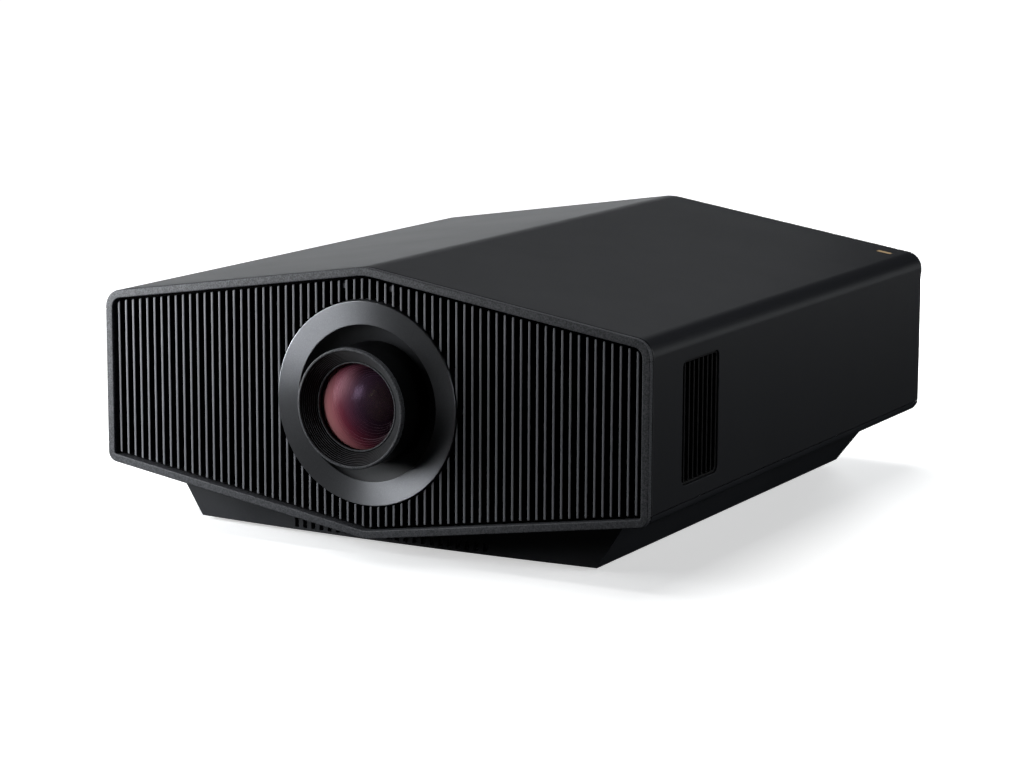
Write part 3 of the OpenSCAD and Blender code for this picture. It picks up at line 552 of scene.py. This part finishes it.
def build_bezel():
    """The rim round the front: a flat face with rounded edges and side joints, and a lip behind."""
    rim, depth, joint_depth = 6 * MM, 4.5 * MM, 0.5 * MM
    lip_end, lip_outside = LIP_END - FACE_Y, 3.3 * MM
    profile = softened([
        (0, 0, 0.9 * MM), (rim, 0, 0.7 * MM), (rim, lip_end, 0),
        (lip_outside, lip_end, 0), (lip_outside, depth, 0), (0, depth, 0.3 * MM)])
    columns = []
    for p in profile:
        groove = joint_depth if p.x < rim / 2 and p.y < depth else 0.0
        front = joint_depth if p.y < 0.3 * MM else 0.0
        plain = rim_stations(p.x)
        sunk = rim_stations(p.x, groove)
        column = []
        for a, b in zip(plain, sunk):
            in_joint = (a - b).length > 1e-9 or (front and near_joint(a))
            column.append(Vector((b.x, FACE_Y + p.y + (front if in_joint else 0), b.y)))
        columns.append(column)
    mesh = bmesh.new()
    skin(mesh, [list(ring) for ring in zip(*columns)], closed=True)
    return make_piece("front_rim", mesh, "chassis", ["front_bezel"])


def near_joint(p):
    """True in the bottom of a hairline joint of the rim."""
    return abs(abs(p.y - LENS_Z) - JOINT_RISE) < 0.2 * MM and abs(p.x) > HALF_W - 8 * MM


# Grille of upright fins, with depths behind the rim's face
FIN_COUNT = 68
FIN_PITCH = 6.55 * MM
FIN_T = 2.1 * MM
FIN_INSET = 8.2 * MM
FIN_FRONT = 2.5 * MM
FIN_BACK = 14 * MM
HOLE_R = 76.3 * MM


def outline_height(x, t, upper):
    """The z of the outline moved inwards by t at x, on its upper or lower side."""
    arcs = outline_arcs(t)
    chosen = arcs[1] + arcs[2] + arcs[3] if upper else arcs[4] + arcs[5] + arcs[0]
    chosen = sorted(chosen, key=lambda p: p.x)
    for a, b in zip(chosen, chosen[1:]):
        if a.x <= x <= b.x and b.x > a.x:
            return a.y + (b.y - a.y) * (x - a.x) / (b.x - a.x)
    return chosen[0].y if x < 0 else chosen[-1].y


def fin_section(inset):
    """Half-round-fronted cross-section of a fin, moved inwards by inset at its end: (x, depth)."""
    half, taper = FIN_T / 2 - inset * 0.6, 0.12 * MM
    nose = min(0.45 * MM, half - taper)
    front = FIN_FRONT + inset
    arc = [(half - taper - nose + nose * math.cos(a), front + nose - nose * math.sin(a))
           for a in quarter_turn(4)]
    return [(half, FIN_BACK)] + arc + [(-x, d) for x, d in reversed(arc)] + [(-half, FIN_BACK)]


def pleat_section(inset):
    """Cross-section of one pleat of the dust filter, as wide as a fin's pitch: (x, depth)."""
    half = FIN_PITCH / 2 - 0.02 * MM
    front_ridge, front_valley = 17.4 * MM, 18.4 * MM - inset
    back_ridge, back_valley = 18.2 * MM, 19 * MM
    return [(half, back_valley), (half, front_valley), (0, front_ridge), (-half, front_valley),
            (-half, back_valley), (0, back_ridge)]


def add_column(mesh, x, low, high, section):
    """One upright bar with rounded ends between two curves, each a height as a function of x."""
    tip = 0.8 * MM
    rings = []
    for end, sign in ((low, 1), (high, -1)):
        part = []
        for a in quarter_turn(3):
            inset, back_off = tip * (1 - math.sin(a)), tip * (1 - math.cos(a))
            part.append([Vector((x + dx, FACE_Y + d, end(x + dx) + sign * back_off))
                         for dx, d in section(inset)])
        rings += part if sign == 1 else list(reversed(part))
    skin(mesh, rings)


def hole_top(x):
    return LENS_Z + math.sqrt(max(HOLE_R ** 2 - x ** 2, 0))


def hole_bottom(x):
    return LENS_Z - math.sqrt(max(HOLE_R ** 2 - x ** 2, 0))


def fill_outline(mesh, thickness, section):
    """Bars at the fins' pitch: whole ones beside the lens opening, two parts above and below it."""
    for i in range(FIN_COUNT):
        x = (i - (FIN_COUNT - 1) / 2) * FIN_PITCH
        ends = {side: [outline_height(x + s * thickness / 2, FIN_INSET, side) for s in (-1, 1)]
                for side in (True, False)}

        def edge(px, side, x=x, ends=ends):
            k = (px - x) / thickness + 0.5
            return ends[side][0] * (1 - k) + ends[side][1] * k

        def upper(px):
            return edge(px, True)

        def lower(px):
            return edge(px, False)

        if abs(x) - thickness / 2 < HOLE_R:
            add_column(mesh, x, hole_top, upper, section)
            add_column(mesh, x, lower, hole_bottom, section)
        else:
            add_column(mesh, x, lower, upper, section)


def build_fins():
    """All the fins, with a painted highlight on their front edges (pale) and painted shade on their
    sides (near black).
    """
    mesh = bmesh.new()
    fill_outline(mesh, FIN_T, fin_section)
    # Faces behind this depth get the near-black painted shade, and those in front get the pale
    # painted highlight.
    lit_edge_depth = FACE_Y + FIN_FRONT + 0.9 * MM
    for face in mesh.faces:
        face.material_index = int(face.calc_center_median().y > lit_edge_depth)
    return make_piece("grille_fins", mesh, "chassis", ["front_grille"], smooth=50)


def build_filter():
    """The pleated dust filter close behind the grille, in a near black that also paints the shade
    between the fins.
    """
    mesh = bmesh.new()
    fill_outline(mesh, FIN_PITCH, pleat_section)
    return make_piece("dust_filter", mesh, "chassis", ["front_grille"])


def build_grille_frame():
    """The border, cross rails and lens collar that hold the fins, behind them."""
    mesh = bmesh.new()
    outside, inside = 3.3 * MM, 9.5 * MM
    border = [(outside, 8 * MM), (inside, 8.6 * MM), (inside, FIN_BACK), (outside, FIN_BACK)]
    columns = [[Vector((p.x, FACE_Y + d, p.y)) for arc in outline_arcs(t, 12) for p in arc]
               for t, d in border]
    skin(mesh, [list(ring) for ring in zip(*columns)], closed=True)
    rail_front, rail_half = FACE_Y + 11 * MM, 1.5 * MM
    for dz in (-45 * MM, 0, 45 * MM):
        inner = math.sqrt((HOLE_R + 1 * MM) ** 2 - dz ** 2)
        for side in (-1, 1):
            xs = sorted((side * inner, side * (HALF_W - 8 * MM)))
            rounded_box(mesh, (xs[0], rail_front, LENS_Z + dz - rail_half),
                        (xs[1], FACE_Y + FIN_BACK, LENS_Z + dz + rail_half), 0.4 * MM, 2)
    collar_r = 80.4 * MM
    lathe(mesh, [(HOLE_R, 10.2 * MM), (collar_r, 10 * MM), (collar_r, FIN_BACK),
                 (HOLE_R, FIN_BACK)], 120)
    return make_piece("grille_frame", mesh, "chassis", ["front_grille"])


def build_tabs():
    """Two small latch tabs in the gaps under the ridge, each a hooked block with a rounded nose."""
    lo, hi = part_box("grille_tabs")
    width = FIN_PITCH - FIN_T - 0.1 * MM
    mesh = bmesh.new()
    for side in (-1, 1):
        x = side * 3 * FIN_PITCH
        rounded_box(mesh, (x - width / 2, lo.y, lo.z), (x + width / 2, hi.y, hi.z), 0.6 * MM)
        rounded_box(mesh, (x - width / 4, lo.y + 1 * MM, hi.z - 0.6 * MM),
                    (x + width / 4, hi.y, hi.z + 1.4 * MM), 0.4 * MM)
    return make_piece("latch_tabs", mesh, "chassis", ["grille_tabs"])


def build_ring():
    """The flat trim ring round the lens, with a soft inner edge and its mounting flange."""
    r, inner, wall = 75.4 * MM, 58 * MM, 1.2 * MM
    flange_r, flange, back = r + 6 * MM, 14 * MM, 17 * MM
    profile = softened([
        (inner, 2.6 * MM, 0.45 * MM), (r, 1.2 * MM, 0.5 * MM), (r, flange, 0),
        (flange_r, flange, 0), (flange_r, back, 0), (r - wall, back, 0), (r - wall, 2.9 * MM, 0),
        (inner, 3.9 * MM, 0.3 * MM)])
    mesh = bmesh.new()
    lathe(mesh, profile, 240)
    return make_piece("trim_ring", mesh, "chassis", ["lens_ring"], smooth=50)


def build_inlay():
    """A blank gold-coloured inlay on the right-hand top facet, near the rear."""
    centre_x, y = 207 * MM, FACE_Y + 481 * MM
    half, half_y, sunk, rise = 6 * MM, 3 * MM, 0.6 * MM, 0.12 * MM
    mesh = bmesh.new()
    rounded_box(mesh, (-half, -half_y, -sunk), (half, half_y, rise), 0.3 * MM)
    x0, x1 = centre_x - half, centre_x + half
    z0, z1 = outline_height(x0, 0, True), outline_height(x1, 0, True)
    slope = Matrix.Rotation(-math.atan2(z1 - z0, x1 - x0), 4, "Y")
    middle = Vector((centre_x, y, (z0 + z1) / 2))
    bmesh.ops.transform(mesh, matrix=Matrix.Translation(middle) @ slope, verts=mesh.verts)
    return make_piece("blank_inlay", mesh, "chassis")


# Buttons of the control panel. Their marks are shapes on the face, in millimetres to the right
# and up.

def band(r0, r1, start, end, steps=24):
    """A ring's part between two angles in degrees, as one polygon."""
    angles = [math.radians(start + (end - start) * i / steps) for i in range(steps + 1)]
    return ([(r1 * math.cos(a), r1 * math.sin(a)) for a in angles]
            + [(r0 * math.cos(a), r0 * math.sin(a)) for a in reversed(angles)])


def bar(u0, v0, u1, v1):
    return [(u0, v0), (u1, v0), (u1, v1), (u0, v1)]


def arrow(turn):
    """A triangle that points up, turned anticlockwise by that many degrees."""
    c, s = math.cos(math.radians(turn)), math.sin(math.radians(turn))
    return [(u * c - v * s, u * s + v * c) for u, v in ((-1.7, -1.0), (1.7, -1.0), (0, 1.7))]


BUTTON_MARKS = {
    "power": [band(1.5, 1.95, 125, 415), bar(-0.22, 0.7, 0.22, 2.3)],
    "input": [bar(-1.8, -1.2, 0.4, 1.2), bar(0.9, -0.25, 2.0, 0.25)],
    "menu": [bar(-1.7, v, 1.7, v + 0.45) for v in (-1.3, -0.22, 0.85)],
    "lens": [band(1.2, 1.65, 0, 359)],
    "up": [arrow(0)], "left": [arrow(90)], "down": [arrow(180)], "right": [arrow(270)],
    "enter": [band(0.05, 1.3, 0, 359)],
}


def build_button(name):
    """A round button on the left wall: a dished cap with a soft edge, its collar and its mark."""
    lo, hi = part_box(name + "_button")
    y, z = (lo.y + hi.y) / 2, (lo.z + hi.z) / 2
    r, collar = 4.5 * MM, (hi.y - lo.y) / 2
    dish = [(r * k * 0.8, lo.x + (0.45 - 0.4 * k ** 2) * MM) for k in (0.1, 0.4, 0.7, 1.0)]
    cap = dish + [(r - 0.45 * MM, lo.x), (r - 0.13 * MM, lo.x + 0.13 * MM), (r, lo.x + 0.45 * MM)]
    flange = hi.x - 5 * MM + 0.3 * MM
    flange_end = flange + 1.4 * MM
    rest = [(r, flange), (collar, flange), (collar, flange_end), (r, flange_end), (r, hi.x)]
    steps = 64
    mesh = bmesh.new()
    skin(mesh, [[Vector((x, y + radius * math.cos(math.tau * i / steps),
                         z + radius * math.sin(math.tau * i / steps))) for i in range(steps)]
                for radius, x in cap + rest])
    plain = len(mesh.faces)
    for mark in BUTTON_MARKS[name]:
        skin(mesh, [[Vector((x, y - u * MM, z + v * MM)) for u, v in mark]
                    for x in (lo.x + 0.25 * MM, lo.x + 0.6 * MM)])
    mesh.faces.ensure_lookup_table()
    for face in mesh.faces[plain:]:
        face.material_index = 1
    return make_piece(name + "_key", mesh, name + "_button", [name + "_button"])


# Lens pieces, which move with the lens shift, with depths behind the rim's face
BARREL_R = 44.3 * MM
LENS_OUT = 21 * MM
HOOD_RIM_END = -17 * MM
MOUTH_R = 42.3 * MM
GLASS_R = 32.9 * MM
SKIRT_R = 66 * MM


def stepped_cone(start, end, count, land):
    """Steps from one (radius, depth) to another: flat lands with slopes between them."""
    (r0, d0), (r1, d1) = start, end
    points = []
    for i in range(count):
        r, d = r0 + (r1 - r0) * i / count, d0 + (d1 - d0) * i / count
        points += [(r, d), (r - land, d)]
    points.append((r1, d1))
    return points


def paint_land_highlights(mesh, inner, outer, front, back):
    """Gives faces square to the axis, between two radii and two depths, the second material: a
    paler colour that paints the light these front-facing lands catch.
    """
    mesh.normal_update()
    for face in mesh.faces:
        centre = face.calc_center_median()
        radius = math.hypot(centre.x, centre.z - LENS_Z)
        depth = centre.y - FACE_Y
        if abs(face.normal.y) > 0.9 and inner < radius < outer and front < depth < back:
            face.material_index = 1


def build_barrel():
    """The hood and body of the lens: stepped inside the mouth, plain black outside."""
    under_rim, mouth = BARREL_R - 0.4 * MM, -LENS_OUT + 0.5 * MM
    outside = [(MOUTH_R + 0.2 * MM, mouth), (under_rim, mouth), (under_rim, HOOD_RIM_END),
               (under_rim - 0.1 * MM, HOOD_RIM_END + 0.4 * MM),
               (BARREL_R, HOOD_RIM_END + 0.8 * MM)]
    # Along the tube to its end: two bearings with a low shoulder between them for the zoom and
    # focus rings, a shoulder, the tube with its flange, and the bore
    rear = [(BARREL_R, 51.7 * MM)] + [(r * MM, d * MM) for r, d in (
        (38, 51.7), (38, 64.3), (41, 64.3), (41, 71.7), (38, 71.7), (38, 84.3), (41, 84.3),
        (41, 90), (36, 90), (36, 116), (48, 116), (48, 120), (36, 120), (36, 140), (31, 140))]
    seat = 6 * MM
    inside = [(31 * MM, seat), (GLASS_R, seat), (GLASS_R, -10.5 * MM)]
    cone = stepped_cone((MOUTH_R, -20.3 * MM), (33.2 * MM, -10.7 * MM), 9, 0.34 * MM)
    mesh = bmesh.new()
    lathe(mesh, outside + rear + inside + list(reversed(cone)))
    paint_land_highlights(mesh, 33 * MM, MOUTH_R + 0.1 * MM, -LENS_OUT, -10 * MM)
    return make_piece("lens_hood", mesh, "lens_carriage", ["lens_barrel"],
                      smooth=28)


def build_hood_rim():
    """The light rim of the hood and the slim ring that holds the front glass."""
    mesh = bmesh.new()
    rim_inside, face_back = BARREL_R - 0.6 * MM, -20 * MM
    lathe(mesh, softened([
        (MOUTH_R, -LENS_OUT, 0.35 * MM), (BARREL_R, -LENS_OUT, 0.8 * MM),
        (BARREL_R, HOOD_RIM_END, 0.2 * MM), (rim_inside, HOOD_RIM_END, 0),
        (rim_inside, face_back, 0), (MOUTH_R, face_back, 0)]), 200)
    inner, outer, front = 31.9 * MM, 33.1 * MM, -11.3 * MM
    lathe(mesh, softened([(inner, front, 0.3 * MM), (outer, front, 0.35 * MM),
                          (outer, -10.2 * MM, 0), (inner, -9.6 * MM, 0)]))
    return make_piece("hood_rim", mesh, "lens_carriage", ["lens_barrel"], smooth=40)


def build_skirt():
    """The funnel round the barrel that closes the trim ring's opening wherever the lens stands."""
    front, slope, thickness, steps = 4.3 * MM, 0.6, 1.4 * MM, 6
    root = front + slope * (SKIRT_R - BARREL_R)
    face = [(BARREL_R + (SKIRT_R - BARREL_R) * i / steps, root + (front - root) * i / steps)
            for i in range(steps + 1)]
    mesh = bmesh.new()
    lathe(mesh, face + [(r, d + thickness) for r, d in reversed(face)], 200)
    return make_piece("lens_skirt", mesh, "lens_carriage", ["lens_barrel"])


def build_glass():
    """The crowned front glass."""
    radius, edge, crown, thickness = 32.4 * MM, -6.2 * MM, 62 * MM, 2.5 * MM
    mesh = bmesh.new()
    dome(mesh, radius, edge, crown, thickness, rings=24, steps=160)
    return make_piece("front_glass", mesh, "lens_carriage", ["front_lens"], smooth=60)


def build_inner_elements():
    """The elements and the stepped spacer rings seen through the front glass."""
    violet = coated_glass("violet_coating", (0.17, 0.10, 0.17), 0.22, Alpha=0.38,
                          Specular_Tint=(0.9, 0.6, 1.0, 1))
    amber = coated_glass("amber_coating", (0.42, 0.33, 0.16), 0.20, Alpha=0.5,
                         Specular_Tint=(1.0, 0.9, 0.5, 1))
    purple = coated_glass("purple_coating", (0.40, 0.20, 0.50), 0.15,
                          Specular_Tint=(0.8, 0.5, 1.0, 1))
    spacer = grained("spacer_black", (0.030, 0.008, 0.014), 0.35, 0.6 * MM, 0.01 * MM)
    # Pale pink for the spacers' lands: a painted highlight of the light they catch.
    edge = grained("spacer_edge_highlight", (0.85, 0.60, 0.70), 0.35, 0.6 * MM, 0.01 * MM)
    # The coating, then radius, depth of the edge and radius of the crown in millimetres
    shapes = {
        "inner_element_1": (violet, 25.5, 7.0, 34.0),
        "inner_element_2": (amber, 17.0, 20.0, 24.0),
        "inner_element_3": (purple, 10.5, 34.0, 18.0),
    }
    for name, (material, radius, rim, crown) in shapes.items():
        mesh = bmesh.new()
        dome(mesh, radius * MM, rim * MM, crown * MM, 2 * MM)
        wear(make_piece(name, mesh, "lens_carriage", ["front_lens"], smooth=60),
             material)
    mesh = bmesh.new()
    bore = 30.9 * MM
    # Each spacer's front and rear (radius, depth) and number of steps
    for start, end, steps in (((30.8, -2.5), (25.6, 7.5), 4), ((25.4, 10.0), (17.1, 20.5), 5),
                              ((16.9, 23.0), (10.6, 34.5), 4)):
        face = [(r * MM, d * MM) for r, d in stepped_cone(start, end, steps, 0.4)]
        back = [(min(r + 1.2 * MM, bore), d + 1 * MM) for r, d in reversed(face)]
        lathe(mesh, face + back, 128)
    paint_land_highlights(mesh, 10 * MM, 31 * MM, -3 * MM, 35 * MM)
    wear(make_piece("lens_spacers", mesh, "lens_carriage", ["front_lens"]),
         spacer, edge)


# Assembly

def dress_cad_nodes():
    """Gives every CAD node its material slot's finish and soft edges."""
    for row in frame["record"]["subparts"]:
        wear(frame["nodes"][row["node"]], materials[row["material_slot"]])
    wear(frame["nodes"]["base_pan"], base_bounce_paint)
    # These inner parts wear near black in place of their slots' finishes, partly as painted shade
    # for the inside of the case.
    for name in ("lens_frame", "lift_plate", "cross_plate", "fan_frames", "fan_rotor_left",
                 "fan_rotor_right"):
        wear(frame["nodes"][name], dark_cast_and_shade)
    # Width of the bevel on each visible node, in millimetres
    bevels = {
        "base_pan": 0.5, "side_vents": 0.4, "rear_panel": 0.5, "rear_vent": 0.4,
        "connector_plate": 0.2, "hdmi_sockets": 0.15, "data_sockets": 0.15, "mini_jacks": 0.3,
        "power_inlet": 0.4, "control_plate": 0.3, "status_light": 0.2, "ir_window": 0.4,
        "cover_screws": 0.25, "rear_feet": 0.8, "left_foot_pad": 0.5, "right_foot_pad": 0.5,
        "left_foot_wheel": 0.3, "right_foot_wheel": 0.3}
    for name, width in bevels.items():
        node = frame["nodes"][name]
        weld = node.modifiers.new("Weld", "WELD")
        weld.merge_threshold = 0.004 * MM
        node.data.shade_smooth()
        bevelled(node, width * MM, 32)


def build_all():
    """Dresses the CAD nodes and makes every piece, each with its material."""
    dress_cad_nodes()
    wear(build_cover(), materials["cover_plastic"])
    wear(build_bezel(), materials["rim_plastic"])
    wear(build_fins(), materials["fin_plastic"], gap_shade_black)
    wear(build_filter(), gap_shade_black)
    wear(build_grille_frame(), gap_shade_black)
    wear(build_tabs(), materials["fin_plastic"])
    wear(build_ring(), materials["ring_metal"])
    wear(build_inlay(), gold_inlay)
    for name in BUTTON_MARKS:
        wear(build_button(name), materials["button_plastic"], mark_paint)
    wear(build_barrel(), hood_black, land_highlight_paint)
    wear(build_hood_rim(), materials["rim_plastic"])
    wear(build_skirt(), skirt_paint)
    wear(build_glass(), materials["lens_glass"])
    build_inner_elements()


# Stage, light and camera

def build_floor():
    """A plain white floor, left out of reflections and of bounced light."""
    reach = 60
    mesh = bmesh.new()
    mesh.faces.new([mesh.verts.new((x * reach, y * reach, 0))
                    for x, y in ((-1, -1), (1, -1), (1, 1), (-1, 1))])
    floor = as_object("floor", mesh)
    paint = Paint("floor_paint", Roughness=0.9, Specular_IOR_Level=0.1)
    paint.colour(paint.ramp(paint.noise(0.4),
                            [(0.3, (0.89, 0.90, 0.90)), (0.7, (0.91, 0.91, 0.91))]))
    paint.shader.inputs["Emission Color"].default_value = (1, 1, 1, 1)
    paint.shader.inputs["Emission Strength"].default_value = 0.52
    wear(floor, paint.material)
    floor.visible_glossy = False
    floor.visible_diffuse = False


def add_lamp(data, aim):
    """A lamp with that light, shining along aim."""
    lamp = bpy.data.objects.new(data.name, data)
    lamp.rotation_euler = aim.to_track_quat("-Z", "Y").to_euler()
    bpy.context.scene.collection.objects.link(lamp)
    return lamp


def area_light(name, place, target, size, power):
    """A soft, slightly cool rectangular lamp at a place, turned to its target."""
    data = bpy.data.lights.new(name, "AREA")
    data.shape = "RECTANGLE"
    data.size, data.size_y = size
    data.energy = power
    data.color = (0.95, 0.975, 1.0)
    lamp = add_lamp(data, Vector(target) - Vector(place))
    lamp.location = place
    lamp.visible_camera = False


def build_lights():
    """Studio light: keys at the front left, panels that the gloss mirrors, and soft light above.

    Each panel has its place, target, size and power in watts."""
    lens = (-0.12, -0.25, 0.10)
    middle = (0, 0, 0.12)
    for name, place, target, size, power in (
            ("key_upper", (-0.45, -0.70, 0.32), lens, (0.25, 0.25), 1.15),
            ("key_middle", (-0.50, -0.60, 0.22), lens, (0.25, 0.25), 1.2),
            ("key_side", (-0.55, -0.40, 0.15), lens, (0.20, 0.20), 2.1),
            ("front_low", (0.10, -1.00, 0.03), lens, (0.80, 0.10), 0.08),
            ("right_side", (1.60, 0.00, 0.50), middle, (0.80, 0.80), 8.0),
            ("rear_left", (-1.50, 2.40, 0.30), middle, (1.60, 0.50), 4.8),
            ("rear_top", (-1.00, 2.00, 1.60), middle, (1.60, 0.80), 2.0),
            ("rear_right", (1.60, 2.60, 0.20), middle, (1.20, 0.80), 2.0),
            ("rear_fill", (-0.22, 1.30, 0.12), middle, (0.50, 0.20), 14.0)):
        area_light(name, place, target, size, power)
    sun = bpy.data.lights.new("soft_top", "SUN")
    sun.energy = 2.0
    sun.angle = math.radians(40)
    add_lamp(sun, Vector((0.30, -0.16, -1))).visible_glossy = False


def build_world():
    """A white background for the camera only."""
    world = bpy.data.worlds.new("studio")
    world.use_nodes = True
    background = world.node_tree.nodes["Background"]
    background.inputs["Color"].default_value = (1, 1, 1, 1)
    background.inputs["Strength"].default_value = 1.05
    world.cycles_visibility.diffuse = False
    world.cycles_visibility.glossy = False
    world.cycles_visibility.transmission = False
    bpy.context.scene.world = world


def build_camera():
    """The photograph's viewpoint: in front, to the right and a little above, with a long lens."""
    azimuth, elevation, roll = math.radians(28.87), math.radians(10.44), math.radians(0.27)
    back = Vector((math.sin(azimuth) * math.cos(elevation),
                   -math.cos(azimuth) * math.cos(elevation), math.sin(elevation)))
    right = (-back).cross(Vector((0, 0, 1))).normalized()
    up = right.cross(-back)
    x_axis = right * math.cos(roll) + up * math.sin(roll)
    y_axis = up * math.cos(roll) - right * math.sin(roll)
    # From the middle of the lens, in metres
    distance, aside, above = 2.1832, 0.1069, 0.01476
    place = Vector((0, FACE_Y, LENS_Z)) + back * distance + x_axis * aside + y_axis * above
    data = bpy.data.cameras.new("camera")
    data.lens = 105.92
    data.sensor_width = 36
    camera = bpy.data.objects.new("camera", data)
    turn = Matrix((x_axis, y_axis, back)).transposed()
    camera.matrix_world = Matrix.Translation(place) @ turn.to_4x4()
    bpy.context.scene.collection.objects.link(camera)
    bpy.context.scene.camera = camera


build_camera()
build_all()
build_floor()
build_lights()
build_world()
bpy.context.scene.view_settings.view_transform = "Standard"
